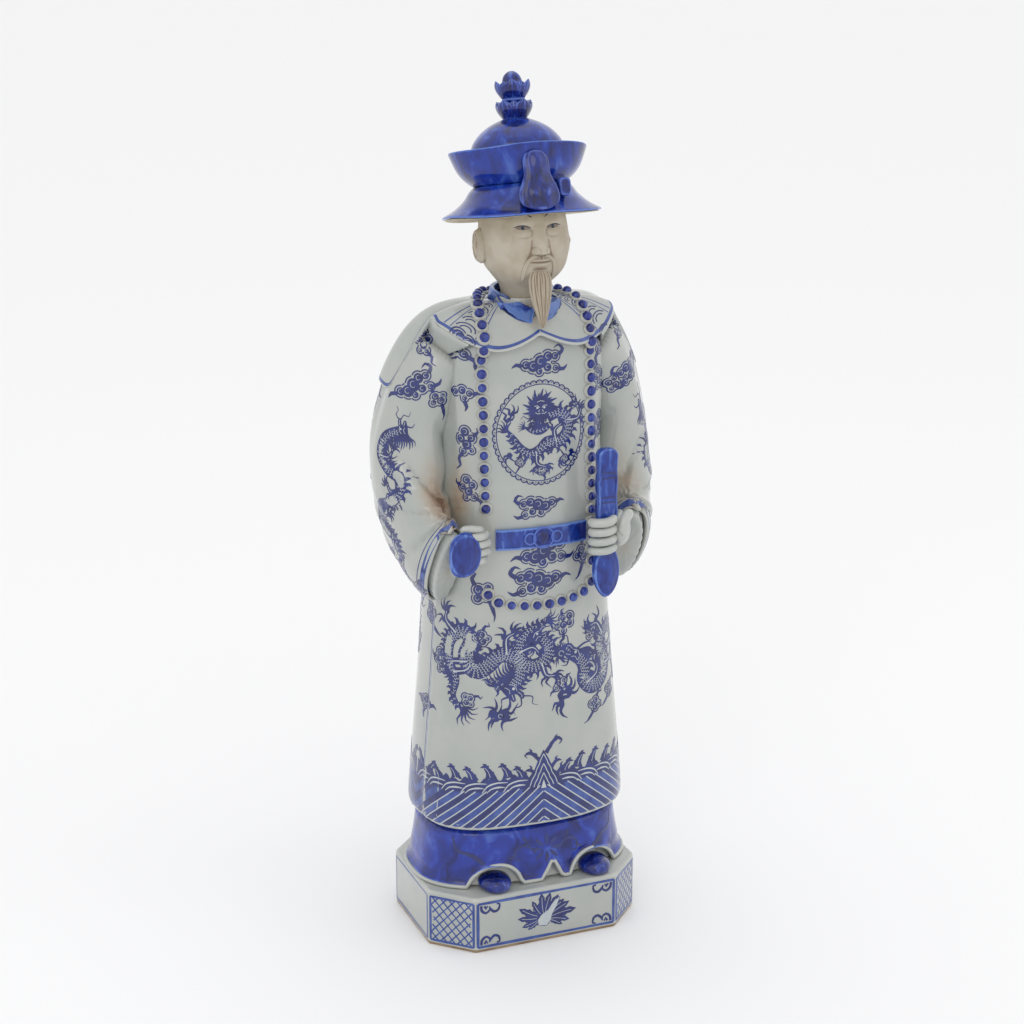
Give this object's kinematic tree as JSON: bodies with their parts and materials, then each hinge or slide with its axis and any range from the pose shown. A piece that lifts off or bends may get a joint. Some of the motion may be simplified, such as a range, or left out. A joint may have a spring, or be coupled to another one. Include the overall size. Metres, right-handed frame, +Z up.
{
  "type": "porcelain court official figurine",
  "caption": "Standing court official in glazed blue-and-white porcelain, with a brimmed hat, winged cape, long robe, court beads and tablet, on a chamfered plinth.",
  "frame": {"origin": "middle of the plinth's flat underside, on its closed bottom plate", "axes": "+Z up through the figure, -Y the way the figure faces, +X towards the figure's left hand"},
  "size_m": [0.1998, 0.1348, 0.6016],
  "materials": {
    "white_glaze": "glossy pale grey-green glaze over white porcelain",
    "cobalt_wash": "glossy brushed cobalt blue wash",
    "dark_cobalt": "glossy deep cobalt blue",
    "biscuit_clay": "matt unglazed biscuit clay"
  },
  "bodies": {
    "root": {"beads_left": "dark_cobalt", "beads_loop": "dark_cobalt", "beads_nape": "dark_cobalt", "beads_right": "dark_cobalt", "beard": "biscuit_clay", "belt": "cobalt_wash", "belt_buckle": "dark_cobalt", "collar_left": "cobalt_wash", "collar_right": "cobalt_wash", "court_tablet": "dark_cobalt", "cuff_flap_left": "dark_cobalt", "cuff_flap_right": "dark_cobalt", "ear_left": "biscuit_clay", "ear_right": "biscuit_clay", "finial_ball": "dark_cobalt", "finial_base_cup": "dark_cobalt", "finial_upper_cup": "dark_cobalt", "hand_left": "white_glaze", "hand_right": "white_glaze", "hat_badge": "dark_cobalt", "hat_crown": "cobalt_wash", "head": "biscuit_clay", "inner_cuff_left": "white_glaze", "inner_cuff_right": "white_glaze", "lower_brim": "cobalt_wash", "plinth": "white_glaze", "plume_tab": "dark_cobalt", "robe": "white_glaze", "shoe_left": "dark_cobalt", "shoe_right": "dark_cobalt", "shoulder_cape": "white_glaze", "sleeve_left": "white_glaze", "sleeve_right": "white_glaze", "under_skirt": "cobalt_wash", "upturned_brim": "cobalt_wash"}
  },
  "joints": []
}
